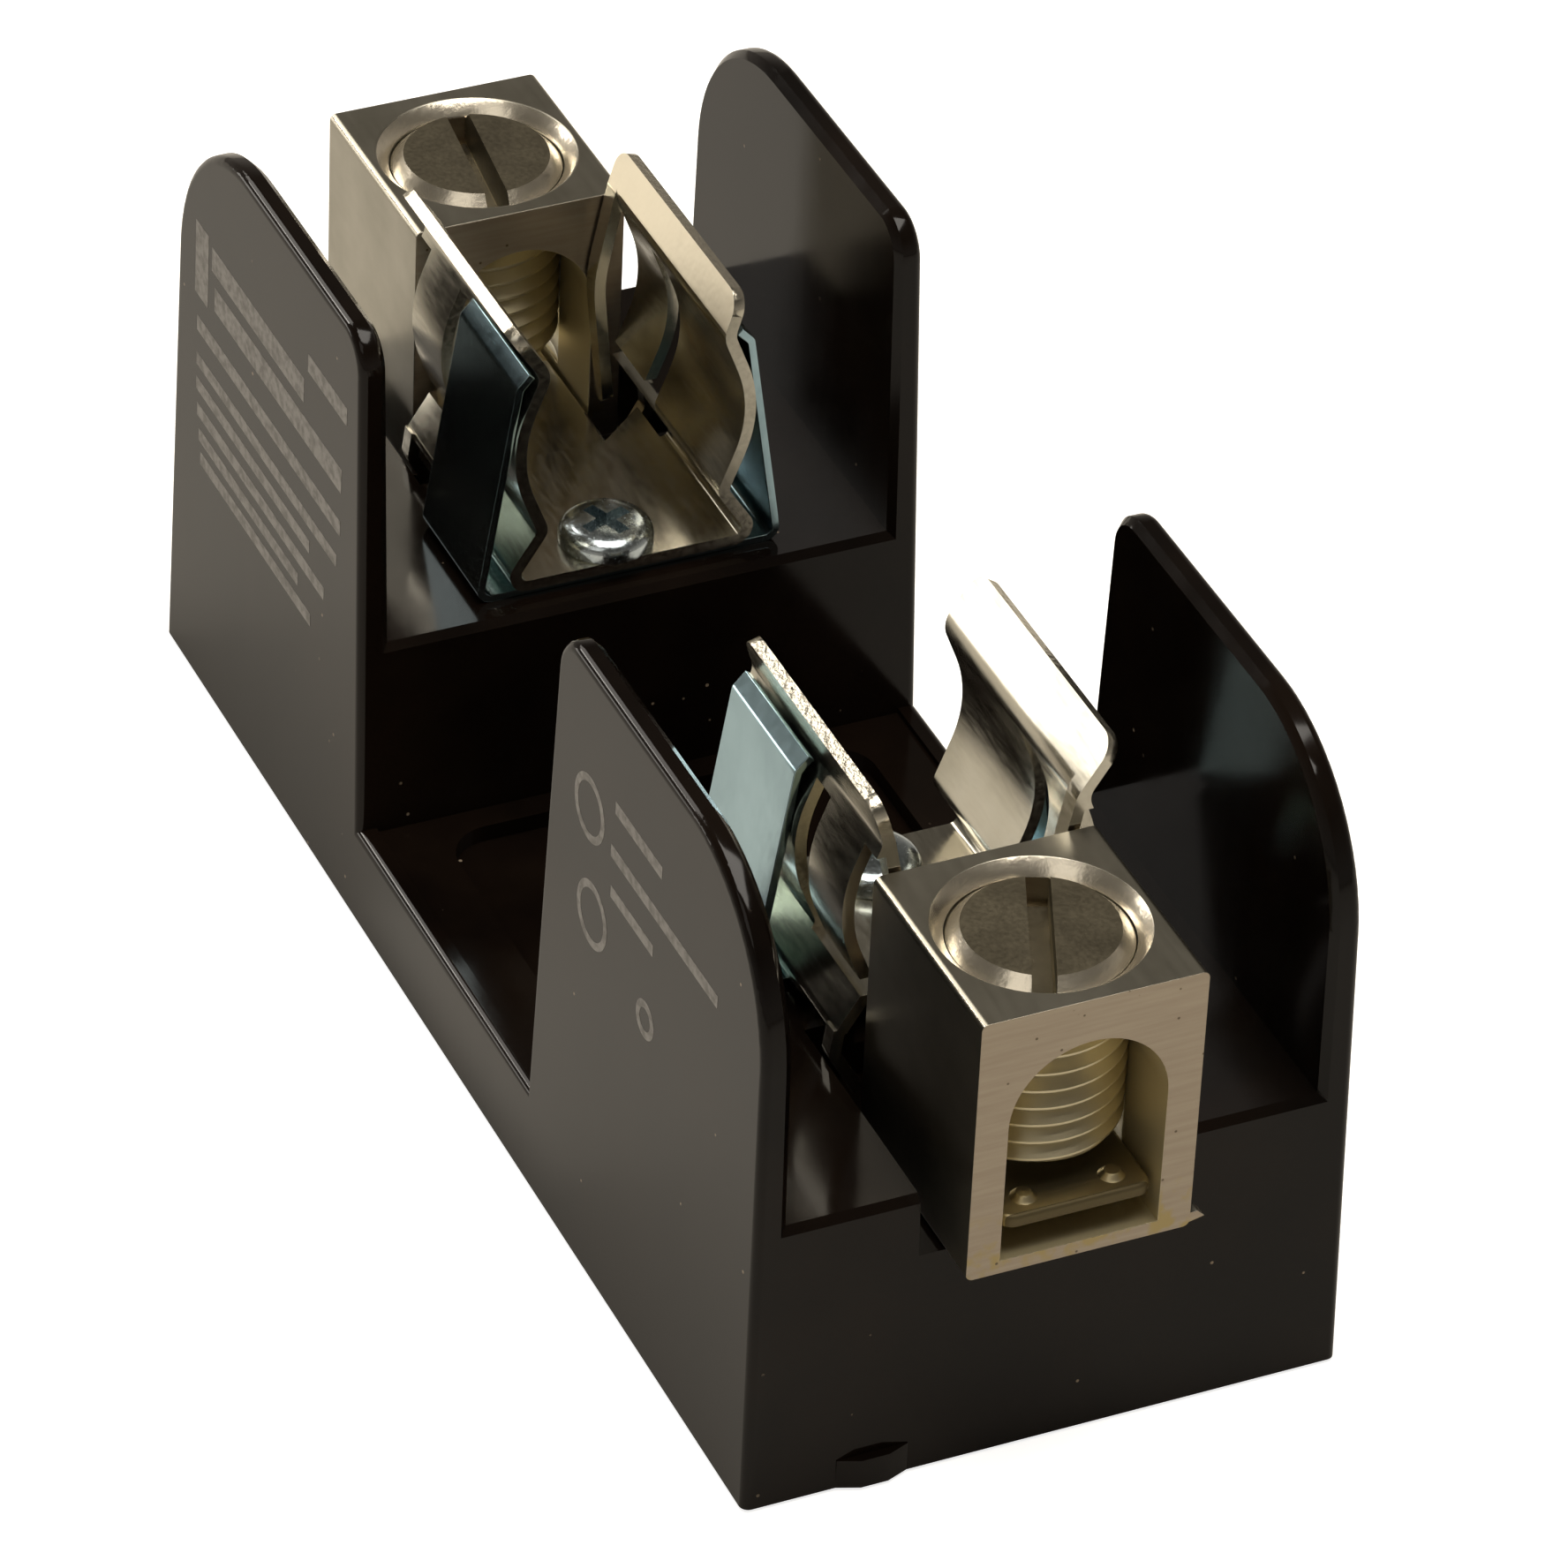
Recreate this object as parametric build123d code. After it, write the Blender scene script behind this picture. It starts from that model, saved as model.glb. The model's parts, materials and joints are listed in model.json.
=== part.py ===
from build123d import *

# Single-pole block for one cartridge fuse: moulded base, two spring clips, two box lugs.
# The fuse lies along X. The base stands on z = 0 with the origin at its middle.
# Every piece is drawn for the line end, at +X, and the load end is the same turned half round.
import os
from math import cos, radians, tan

# Cartridge fuse, 14.3 mm across its end caps
fuse_radius = 7.14
fuse_above_platform = 9.1

# Moulded base
base_length = 80.6
base_width = 33.0
base_height = 36.0
end_draft = 1.75
side_draft = 0.82
gap_draft = 2.9
gap_length = 23.5
rim_height = 5.7
floor_height = 5.4
rim_width = 1.1
wall_thickness = 1.76
platform_height = 17.1
wall_end_radius = 9.8
wall_gap_radius = 2.4
moulding_edge_radius = 0.5
inner_edge_chamfer = 0.4
recess_length = 20.4
recess_width = 24.4
recess_depth = 1.0
recess_corner_radius = 2.5
mounting_hole_radius = 2.6
nut_web = 5.5
gate_pad_side = 9.5
gate_pad_width = 3.9
gate_pad_height = 1.75
gate_pad_depth = 0.45
gate_pad_shoulder = 1.2

# Box lug, sawn from an extruded bar
lug_length = 12.7
lug_width = 12.2
lug_height = 15.9
lug_start = 29.9
lug_sink = 3.6
lug_edge_radius = 0.4
load_lug_lift = 1.0
wire_way_width = 8.6
wire_way_floor = 0.8
wire_way_roof = 2.6
bore_above_floor = 1.5
screw_countersink = 0.75
burr_size = 0.8
burr_root = 1.0

# Clamp screw, 3/8 inch thread
clamp_screw_radius = 4.7
clamp_screw_open_gap = 1.3
clamp_screw_chamfer = 0.7
clamp_screw_point_chamfer = 0.4
clamp_slot_width = 1.25
clamp_slot_depth = 2.2
line_slot_angle = -22.7
load_slot_angle = -7.1
clamp_screw_sunk = 0.1

# Spring clip, one stamping from 0.65 mm sheet
clip_sheet = 0.65
clip_grip = 0.87
clip_start = 13.8
main_leaf_length = 8.7
finger_gap = 1.7
finger_length = 4.1
stop_gap = 0.3
stop_length = 1.1
seat_half_angle = 21.5
neck_below_fuse = 5.0
neck_above_fuse = 4.9
wide_lip_height = 2.8
wide_lip_flare = 1.85
narrow_lip_height = 2.35
narrow_lip_flare = 0.7
lip_corner_radius = 1.2
low_neck_bend = 0.7
high_neck_bend = 1.3
foot_half_width = 7.35
foot_bend = 0.75
slot_below_neck = 0.8
finger_above_neck = 0.6
wing_height = 2.2
wing_below_neck = 0.3
wing_length = 6.0
tab_length = 0.9
tab_reach = 3.7
tab_out = 0.2
tab_in = 1.2
tab_bend = 0.6
stop_end_above_platform = 0.5
stop_end_rounding = 0.45
stop_lean = 0.3
stop_bow = 1.1
stop_bow_below_neck = 5.5
stop_bow_radius = 9.0
slit_start = 23.8
ear_end = 26.9
ear_half_width = 5.9
strap_width = 8.2
strap_root_width = 6.0
strap_root_length = 1.1
strap_shoulder_length = 1.0
strap_corner_radius = 0.8
strap_edge_radius = 0.25
strap_bend_start = 24.5
strap_bend_length = 1.3
strap_drop = 1.6
strap_length = 17.8
strap_bend = 0.9
pip_radius = 0.7
pip_height = 0.3
pip_spacing = 4.8
pip_from_end = 1.35

# Reinforcing spring, outside the clip
spring_sheet = 0.45
spring_inset = 0.3
spring_length = 7.8
spring_lean = 8.8
spring_bend = 0.6
spring_fold_bend = 0.35
spring_below_neck = 0.75

# Fixing screw and nut, number 4 size
fixing_screw_place = 16.0
fixing_screw_side = 0.6
fixing_screw_radius = 1.42
fixing_screw_length = 9.5
fixing_head_radius = 2.6
fixing_head_height = 1.25
fixing_head_chamfer = 0.55
fixing_cross_length = 2.8
fixing_cross_width = 0.8
fixing_cross_depth = 0.9
fixing_cross_angle = 20
nut_across_flats = 6.35
nut_height = 2.4

# How far a cutting tool runs past the face it cuts, and a joined piece into the one it joins
overrun = 1.0

# Clearances
screw_running_clearance = 0.06
fixing_hole_clearance = 0.2
nut_clearance = 0.1
lug_side_clearance = 1.3
lug_seat_clearance = 0.05
pocket_start_clearance = 4.3
strap_channel_clearance = 0.5
plate_clearance = 0.03
fold_clearance = 0.4

# Heights and places that follow from the sizes above
fuse_axis_height = platform_height + fuse_above_platform
lug_bottom = platform_height - lug_sink
pocket_floor = lug_bottom - lug_seat_clearance
channel_half_width = base_width / 2 - platform_height * tan(radians(side_draft)) - wall_thickness
spring_base_height = platform_height + spring_sheet / 2
clip_base_height = platform_height + spring_sheet + clip_sheet / 2
clip_top_face = clip_base_height + clip_sheet / 2
low_neck_height = fuse_axis_height - neck_below_fuse
high_neck_height = fuse_axis_height + neck_above_fuse
main_leaf_end = clip_start + main_leaf_length
finger_start = main_leaf_end + finger_gap
finger_end = finger_start + finger_length
stop_start = finger_end + stop_gap
stop_end = stop_start + stop_length
stop_end_height = platform_height + stop_end_above_platform
strap_height = clip_base_height - strap_drop
strap_end = strap_bend_start + strap_length
screw_axis = lug_start + lug_length / 2
lug_top = lug_bottom + lug_height
wire_way_height = lug_height - wire_way_floor - wire_way_roof
strap_top = strap_height + clip_sheet / 2
clamp_screw_length = lug_top - clamp_screw_sunk - clamp_screw_open_gap - strap_top


def end_half_length(height):
    return base_length / 2 - height * tan(radians(end_draft))


def side_half_width(height):
    return base_width / 2 - height * tan(radians(side_draft))


def gap_half_length(height):
    return gap_length / 2 + (height - rim_height) * tan(radians(gap_draft))


def mirrored(points):
    """Closes a half outline by its own mirror image about the vertical axis."""
    return points + [(-y, z) for y, z in reversed(points)]


def block(x_range, y_range, z_range):
    """Box between two limits on each axis."""
    size = [high - low for low, high in (x_range, y_range, z_range)]
    middle = [(high + low) / 2 for low, high in (x_range, y_range, z_range)]
    return Pos(*middle) * Box(*size)


def plan_view(half):
    """Face in the ground plane from half of its corners, each given as Y and then X."""
    return make_face(Polyline(*[(x, y) for y, x in mirrored(half)], close=True))


def side_view(sketch, half_depth):
    """Prism through the whole width from an outline drawn in X and Z."""
    return extrude(Plane.XZ * sketch, half_depth, both=True)


def bent_sheet(points, bends, thickness):
    """Section of a sheet whose middle line runs through the points, rounded at each corner."""
    return trace(FilletPolyline(*points, radius=bends), thickness)


def along_x(section, start, end):
    """Runs a section drawn in Y and Z from one X to another."""
    return extrude(Plane.YZ.offset(start) * section, end - start)


def both_ends(shape):
    return [shape, shape.rotate(Axis.Z, 180)]


# Base


def base_outline():
    """Side elevation: floor, middle gap and the four rounded wall ends."""
    corners = mirrored([
        (end_half_length(0), 0),
        (end_half_length(base_height), base_height),
        (gap_half_length(base_height), base_height),
        (gap_half_length(rim_height), rim_height),
    ])
    outline = make_face(Polyline(*corners, close=True))
    top = outline.vertices().filter_by_position(Axis.Y, base_height - 0.01, base_height + 0.01)
    outer = [corner for corner in top if abs(corner.X) > base_length / 3]
    outline = fillet(outer, wall_end_radius)
    top = outline.vertices().filter_by_position(Axis.Y, base_height - 0.01, base_height + 0.01)
    inner = [corner for corner in top if abs(corner.X) < gap_half_length(base_height) + 0.01]
    return fillet(inner, wall_gap_radius)


def base_end_section():
    half = [(side_half_width(0), 0), (side_half_width(base_height), base_height)]
    return make_face(Polyline(*mirrored(half), close=True))


def outer_edges(body):
    """Edges round the outside of the walls and the rim, without those on the ground."""
    limit = side_half_width(base_height) - 0.01
    return [edge for edge in body.edges() if abs(edge.center().Y) > limit and edge.center().Z > 0.01]


def inner_edges(body):
    """Edges of the walls' inner faces and of the platforms' ends."""
    wall = [
        edge
        for edge in body.edges()
        if abs(abs(edge.center().Y) - channel_half_width) < 0.01
        and edge.center().Z > platform_height + 0.01
    ]
    platform = [
        edge
        for edge in body.edges()
        if abs(edge.center().Y) < 0.01 and abs(edge.center().Z - platform_height) < 0.01
    ]
    return wall + platform


def lug_pocket():
    """Open-ended pocket for the lug, with a narrower channel where the strap bends down."""
    half = lug_width / 2 + lug_side_clearance
    start = lug_start - pocket_start_clearance
    end = base_length
    top = platform_height + overrun
    pocket = block((start, end), (-half, half), (pocket_floor, top))
    strap_half = strap_width / 2 + strap_channel_clearance
    channel_floor = strap_height - clip_sheet / 2 - strap_channel_clearance
    channel_start = strap_bend_start - strap_channel_clearance
    return pocket + block((channel_start, end), (-strap_half, strap_half), (channel_floor, top))


def nut_pocket():
    """Hexagon socket from below and the screw hole above it."""
    ceiling = platform_height - nut_web
    socket = RegularPolygon(nut_across_flats / 2 + nut_clearance, 6, major_radius=False)
    hole = Cylinder(
        fixing_screw_radius + fixing_hole_clearance,
        platform_height,
        align=(Align.CENTER, Align.CENTER, Align.MIN),
    )
    return Pos(fixing_screw_place, fixing_screw_side, 0) * (extrude(socket, ceiling) + hole)


def floor_recess():
    """Shallow rounded recess in the middle floor and the mounting hole through it."""
    outline = RectangleRounded(recess_length, recess_width, recess_corner_radius)
    recess = Pos(0, 0, floor_height - recess_depth) * extrude(outline, recess_depth + overrun)
    hole = Cylinder(mounting_hole_radius, 2 * floor_height)
    return recess + hole


def gate_pad():
    """Trimmed stub of the moulding gate, low on the line end."""
    face = end_half_length(0)
    half = gate_pad_width / 2
    outline = plan_view([
        (half, face - overrun),
        (half, face),
        (half - gate_pad_shoulder, face + gate_pad_depth),
    ])
    return Pos(0, -gate_pad_side, 0) * extrude(outline, gate_pad_height)


def make_base():
    outline = side_view(base_outline(), base_width)
    body = outline & along_x(base_end_section(), -base_length, base_length)
    body = fillet(outer_edges(body), moulding_edge_radius)
    above = base_height + overrun
    far_out = base_length
    channel = block(
        (-far_out, far_out), (-channel_half_width, channel_half_width), (platform_height, above)
    )
    body = body - channel
    body = chamfer(inner_edges(body), inner_edge_chamfer)
    floor_half = side_half_width(rim_height) - rim_width
    gap_half = gap_half_length(rim_height)
    body = body - block((-gap_half, gap_half), (-floor_half, floor_half), (floor_height, rim_height))
    body = body - floor_recess() + gate_pad()
    for cut in both_ends(lug_pocket()) + both_ends(nut_pocket()):
        body = body - cut
    return body


# Clip


def seat_corner():
    """Corner of the two tangents that hold the leaf's seat arc."""
    return (fuse_radius + clip_sheet / 2) / cos(radians(seat_half_angle)) - clip_grip


def neck_points():
    """Corners of a leaf's middle line from the foot to the upper neck."""
    corner = seat_corner()
    slope = tan(radians(seat_half_angle))
    return [
        (foot_half_width, clip_base_height),
        (corner - neck_below_fuse * slope, low_neck_height),
        (corner, fuse_axis_height),
        (corner - neck_above_fuse * slope, high_neck_height),
    ]


def lip_tip(side):
    """End of the lip, which is flared wider on the left leaf than on the right one."""
    neck = neck_points()[-1]
    if side > 0:
        return (neck[0] + wide_lip_flare, neck[1] + wide_lip_height)
    return (neck[0] + narrow_lip_flare, neck[1] + narrow_lip_height)


def on_side(points, side):
    return [(side * y, z) for y, z in points]


def clip_section():
    """Bent section across the clip: lip, neck, seat, neck, foot, base and the same again."""
    right = on_side(neck_points() + [lip_tip(-1)], -1)
    left = neck_points() + [lip_tip(1)]
    bends = [foot_bend, low_neck_bend, fuse_radius + clip_sheet / 2, high_neck_bend]
    return bent_sheet(right[::-1] + left, bends[::-1] + bends, clip_sheet)


def leaf_side_view():
    """Outline of the leaves from the side: main leaf, slot, finger, lip band and wing."""
    top = high_neck_height + wide_lip_height + clip_sheet
    slot_top = high_neck_height - slot_below_neck
    wing_top = low_neck_height - wing_below_neck
    wing_bottom = wing_top - wing_height
    wing_end = main_leaf_end + wing_length
    finger_bottom = low_neck_height + finger_above_neck
    corners = [
        (clip_start, platform_height),
        (slit_start, platform_height),
        (slit_start, wing_bottom),
        (wing_end, wing_bottom),
        (wing_end, wing_top),
        (main_leaf_end, wing_top),
        (main_leaf_end, slot_top),
        (finger_start, slot_top),
        (finger_start, finger_bottom),
        (finger_end, finger_bottom),
        (finger_end, slot_top),
        (stop_end, slot_top),
        (stop_end, top),
        (clip_start, top),
    ]
    return make_face(Polyline(*corners, close=True))


def lip_corners(clip):
    """Short edges at the ends of both lips, across the sheet."""
    lowest = lip_tip(-1)[1] - clip_sheet
    return [
        edge
        for edge in clip.edges()
        if abs(edge.length - clip_sheet) < 0.01 and edge.center().Z > lowest
    ]


def stop_strip(side):
    """Strip that hangs from the lip, bowed inwards, and stops the fuse's end."""
    neck = neck_points()[-1]
    points = [
        lip_tip(side),
        neck,
        (neck[0] - stop_bow, neck[1] - stop_bow_below_neck),
        (neck[0] - stop_lean, stop_end_height),
    ]
    section = bent_sheet(on_side(points, side), [high_neck_bend, stop_bow_radius], clip_sheet)
    strip = along_x(section, stop_start, stop_end)
    low = [
        edge
        for edge in strip.edges()
        if abs(edge.length - clip_sheet) < 0.01 and edge.center().Z < stop_end_height + clip_sheet
    ]
    return fillet(low, stop_length * stop_end_rounding)


def wing_tab(side):
    """Small foot under the wing's end that reaches down into the lug pocket."""
    foot, neck = neck_points()[:2]
    top = low_neck_height - wing_below_neck - wing_height
    start = neck[0] + (neck[1] - top) * (foot[0] - neck[0]) / (neck[1] - foot[1])
    points = [
        (start, top + clip_sheet / 2),
        (start + tab_out, top - tab_reach / 3),
        (start - tab_in, top - tab_reach),
    ]
    end = main_leaf_end + wing_length
    section = bent_sheet(on_side(points, side), [tab_bend], clip_sheet)
    return along_x(section, end - tab_length, end)


def pip():
    """Raised round pip with sloping sides."""
    bottom = (Align.CENTER, Align.CENTER, Align.MIN)
    return Cone(pip_radius, pip_radius - pip_height, pip_height, align=bottom)


def strap_outline():
    """Plan of the strap, narrow where it bends and rounded at its end."""
    root = strap_root_width / 2
    half = strap_width / 2
    root_end = strap_bend_start + strap_root_length
    outline = plan_view([
        (root, strap_bend_start - overrun),
        (root, root_end),
        (half, root_end + strap_shoulder_length),
        (half, strap_end),
    ])
    end = outline.vertices().filter_by_position(Axis.X, strap_end - 0.01, strap_end + 0.01)
    return fillet(end, strap_corner_radius)


def strap():
    """Tongue that bends down from the base and runs through the lug."""
    points = [
        (strap_bend_start - overrun, clip_base_height),
        (strap_bend_start, clip_base_height),
        (strap_bend_start + strap_bend_length, strap_height),
        (strap_end, strap_height),
    ]
    tongue = side_view(bent_sheet(points, [strap_bend, strap_bend], clip_sheet), strap_width / 2)
    tongue = tongue & extrude(strap_outline(), base_height)
    rim = [
        edge
        for edge in tongue.edges()
        if abs(edge.center().Z - strap_top) < 0.01 and edge.center().X > strap_end - strap_corner_radius
    ]
    tongue = fillet(rim, strap_edge_radius)
    for side in (-1, 1):
        place = Pos(strap_end - pip_from_end, side * pip_spacing / 2, strap_top)
        tongue = tongue + place * pip()
    return tongue


def base_neck():
    """Plan of the base beyond the leaves: two ears beside the wings and the strap's root."""
    wide = foot_half_width - foot_bend
    outline = plan_view([
        (wide, main_leaf_end - overrun),
        (wide, slit_start),
        (ear_half_width, slit_start),
        (ear_half_width, ear_end),
        (strap_root_width / 2, strap_bend_start),
    ])
    return extrude(Pos(0, 0, clip_base_height - clip_sheet / 2) * outline, clip_sheet)


def make_clip():
    bent = along_x(clip_section(), clip_start, stop_end)
    clip = bent & side_view(leaf_side_view(), base_width)
    clip = clip + base_neck() + strap()
    for side in (-1, 1):
        clip = clip + stop_strip(side) + wing_tab(side)
    clip = fillet(lip_corners(clip), lip_corner_radius)
    hole = Cylinder(fixing_screw_radius + fixing_hole_clearance, 2 * clip_sheet)
    return clip - Pos(fixing_screw_place, fixing_screw_side, clip_base_height) * hole


# Reinforcing spring


def plate_side(height):
    """Middle of the side plate, which leans against the leaf's seat."""
    seat = fuse_radius + clip_sheet + plate_clearance + spring_sheet / 2
    lean = radians(spring_lean)
    return seat / cos(lean) - clip_grip + (fuse_axis_height - height) * tan(lean)


def make_spring():
    """U-shaped spring: base under the clip, side plates, and a fold that ends in the upper neck."""
    neck = neck_points()[-1]
    plate_top = neck[1] - spring_below_neck
    plate = [
        (plate_side(spring_base_height), spring_base_height),
        (plate_side(plate_top), plate_top),
        (neck[0] + clip_sheet / 2 + fold_clearance, neck[1]),
    ]
    bends = [spring_bend, spring_fold_bend]
    points = [(-y, z) for y, z in reversed(plate)] + plate
    section = bent_sheet(points, bends[::-1] + bends, spring_sheet)
    start = clip_start + spring_inset
    spring = along_x(section, start, start + spring_length)
    hole = Cylinder(fixing_screw_radius + fixing_hole_clearance, 2 * spring_sheet)
    return spring - Pos(fixing_screw_place, fixing_screw_side, spring_base_height) * hole


# Lug


def wire_way():
    """Arched passage along the lug."""
    half = wire_way_width / 2
    straight = Pos(0, (wire_way_height - half) / 2) * Rectangle(wire_way_width, wire_way_height - half)
    arch = straight + Pos(0, wire_way_height - half) * Circle(half)
    place = Pos(0, lug_bottom + wire_way_floor) * arch
    return along_x(place, lug_start - overrun, lug_start + lug_length + overrun)


def screw_bore():
    """Tapped hole from the top into the passage, with a countersunk mouth."""
    radius = clamp_screw_radius + screw_running_clearance
    floor = lug_bottom + wire_way_floor + bore_above_floor
    bore = Cylinder(radius, lug_top - floor, align=(Align.CENTER, Align.CENTER, Align.MIN))
    mouth = Cone(
        radius, radius + screw_countersink, screw_countersink, align=(Align.CENTER, Align.CENTER, Align.MAX)
    )
    return Pos(screw_axis, 0, floor) * bore + Pos(screw_axis, 0, lug_top) * mouth


def saw_burr():
    """Thin burr that the saw left at one lower corner of the outer face."""
    end = lug_start + lug_length
    side = lug_width / 2
    outline = make_face(
        Polyline(
            (side - burr_root, lug_bottom),
            (side + burr_size, lug_bottom + burr_size / 2),
            (side + burr_size / 2, lug_bottom + burr_size),
            (side - burr_root, lug_bottom + burr_size),
            close=True,
        )
    )
    return along_x(outline, end - burr_size, end)


def make_lug():
    half = lug_width / 2
    body = block((lug_start, lug_start + lug_length), (-half, half), (lug_bottom, lug_top))
    body = fillet(body.edges().filter_by(Axis.X), lug_edge_radius)
    return body - wire_way() - screw_bore()


def make_clamp_screw(slot_angle):
    """Headless screw with a slot, its top level with the lug's."""
    screw = Cylinder(
        clamp_screw_radius, clamp_screw_length, align=(Align.CENTER, Align.CENTER, Align.MAX)
    )
    rims = screw.edges().filter_by(GeomType.CIRCLE).sort_by(Axis.Z)
    screw = chamfer(rims[-1], clamp_screw_chamfer)
    rims = screw.edges().filter_by(GeomType.CIRCLE).sort_by(Axis.Z)
    screw = chamfer(rims[0], clamp_screw_point_chamfer)
    slot = Rot(0, 0, slot_angle) * Box(4 * clamp_screw_radius, clamp_slot_width, 2 * clamp_slot_depth)
    return Pos(screw_axis, 0, lug_top - clamp_screw_sunk) * (screw - slot)


# Fixing screw and nut


def make_fixing_screw():
    """Pan head screw with a cross recess."""
    bottom = (Align.CENTER, Align.CENTER, Align.MIN)
    head = Cylinder(fixing_head_radius, fixing_head_height, align=bottom)
    head = chamfer(head.edges().sort_by(Axis.Z)[-1], fixing_head_chamfer)
    for angle in (fixing_cross_angle, fixing_cross_angle + 90):
        arm = Rot(0, 0, angle) * Box(fixing_cross_length, fixing_cross_width, 2 * fixing_cross_depth)
        head = head - Pos(0, 0, fixing_head_height) * arm
    shank = Cylinder(
        fixing_screw_radius, fixing_screw_length, align=(Align.CENTER, Align.CENTER, Align.MAX)
    )
    return Pos(fixing_screw_place, fixing_screw_side, clip_top_face) * (head + shank)


def make_fixing_nut():
    """Hexagon nut against the ceiling of its pocket, bored to the screw's size."""
    ceiling = platform_height - nut_web
    nut = extrude(RegularPolygon(nut_across_flats / 2, 6, major_radius=False), nut_height)
    nut = nut - Cylinder(fixing_screw_radius + screw_running_clearance, 4 * nut_height)
    return Pos(fixing_screw_place, fixing_screw_side, ceiling - nut_height) * nut


def make_parts():
    parts = {"base": make_base()}
    pairs = {
        "clip": both_ends(make_clip()),
        "spring": both_ends(make_spring()),
        "lug": both_ends(make_lug()),
        "fixing_screw": both_ends(make_fixing_screw()),
        "fixing_nut": both_ends(make_fixing_nut()),
    }
    for name, pair in pairs.items():
        parts["line_" + name] = pair[0]
        parts["load_" + name] = pair[1]
    lift = Pos(0, 0, load_lug_lift)
    parts["line_lug"] = parts["line_lug"] + saw_burr()
    parts["load_lug"] = lift * parts["load_lug"]
    parts["line_clamp_screw"] = make_clamp_screw(line_slot_angle)
    parts["load_clamp_screw"] = lift * make_clamp_screw(load_slot_angle).rotate(Axis.Z, 180)
    return parts


os.makedirs("parts", exist_ok=True)
for name, shape in make_parts().items():
    export_step(shape, f"parts/{name}.step")
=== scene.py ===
import json
import math

import bmesh
import bpy
from mathutils import Matrix, Vector


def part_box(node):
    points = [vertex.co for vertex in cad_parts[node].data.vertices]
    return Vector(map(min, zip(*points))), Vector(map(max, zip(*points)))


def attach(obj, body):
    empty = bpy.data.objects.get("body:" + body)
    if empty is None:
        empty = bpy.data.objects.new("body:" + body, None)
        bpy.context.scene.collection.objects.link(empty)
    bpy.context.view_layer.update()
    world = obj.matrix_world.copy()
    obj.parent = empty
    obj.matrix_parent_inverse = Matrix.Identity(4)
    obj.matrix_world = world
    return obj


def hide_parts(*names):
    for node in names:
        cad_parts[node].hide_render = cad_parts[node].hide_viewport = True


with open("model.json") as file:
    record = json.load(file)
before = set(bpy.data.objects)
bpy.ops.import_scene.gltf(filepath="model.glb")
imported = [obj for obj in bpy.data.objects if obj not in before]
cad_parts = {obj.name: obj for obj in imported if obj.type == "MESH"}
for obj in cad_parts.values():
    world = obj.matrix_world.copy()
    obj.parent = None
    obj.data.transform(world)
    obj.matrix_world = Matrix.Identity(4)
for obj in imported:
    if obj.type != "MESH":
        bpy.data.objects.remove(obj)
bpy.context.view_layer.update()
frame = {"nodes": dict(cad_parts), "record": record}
mm = 0.001
print("frame loaded:", len(frame["nodes"]), "nodes")


# Camera, at the photograph's angle; the picture is 1776 pixels square
photoCamera = {
    "azimuth": 64.898,
    "elevation": 36.293,
    "roll": 2.55,
    "distance": 484.3 * mm,
    "target": (0, 0, 15 * mm),
    "imageSide": 1776,
    "focalPixels": 10445.2,
    "axisPixel": (830.35, 848.77),  # where the lens axis meets the picture, from its top left
    "sensor": 36.0,
    "clip": (10 * mm, 20),
}


def addCamera(settings):
    data = bpy.data.cameras.new("photoCamera")
    camera = bpy.data.objects.new("photoCamera", data)
    bpy.context.scene.collection.objects.link(camera)
    azimuth = math.radians(settings["azimuth"])
    elevation = math.radians(settings["elevation"])
    roll = math.radians(settings["roll"])
    back = Vector((
        math.sin(azimuth) * math.cos(elevation),
        -math.cos(azimuth) * math.cos(elevation),
        math.sin(elevation),
    ))
    right = Vector((math.cos(azimuth), math.sin(azimuth), 0))
    up = back.cross(right)
    rolledRight = right * math.cos(roll) + up * math.sin(roll)
    rolledUp = up * math.cos(roll) - right * math.sin(roll)
    turn = Matrix((rolledRight, rolledUp, back)).transposed().to_4x4()
    place = Matrix.Translation(Vector(settings["target"]) + back * settings["distance"])
    camera.matrix_world = place @ turn
    side = settings["imageSide"]
    data.sensor_width = settings["sensor"]
    data.lens = settings["focalPixels"] / side * settings["sensor"]
    data.shift_x = 0.5 - settings["axisPixel"][0] / side
    data.shift_y = settings["axisPixel"][1] / side - 0.5
    data.clip_start, data.clip_end = settings["clip"]
    bpy.context.scene.camera = camera


addCamera(photoCamera)
bpy.context.scene.view_settings.view_transform = "Standard"


# sRGB hex to the linear colour that a shader takes
def linear(hexColour):
    channels = [int(hexColour[start:start + 2], 16) / 255 for start in (1, 3, 5)]
    return [c / 12.92 if c <= 0.04045 else ((c + 0.055) / 1.055) ** 2.4 for c in channels] + [1]


def newMaterial(name):
    material = bpy.data.materials.new(name)
    material.use_nodes = True
    material.node_tree.nodes.clear()
    return material, material.node_tree


# One node with its settings. An input is a number, a colour or another node's socket, and
# stops are a colour ramp's two positions with their colours.
def addNode(tree, kind, inputs=None, stops=(), **settings):
    node = tree.nodes.new(kind)
    for name, value in settings.items():
        setattr(node, name, value)
    for index, (position, colour) in enumerate(stops):
        node.color_ramp.elements[index].position = position
        node.color_ramp.elements[index].color = linear(colour)
    for name, value in (inputs or {}).items():
        if isinstance(value, bpy.types.NodeSocket):
            tree.links.new(value, node.inputs[name])
        else:
            node.inputs[name].default_value = value
    return node


# A Mix node has sockets of one name for each kind of data, so they go by number:
# the two inputs and the output
mixSockets = {"FLOAT": (2, 3, 0), "VECTOR": (4, 5, 1), "RGBA": (6, 7, 2)}


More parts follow.
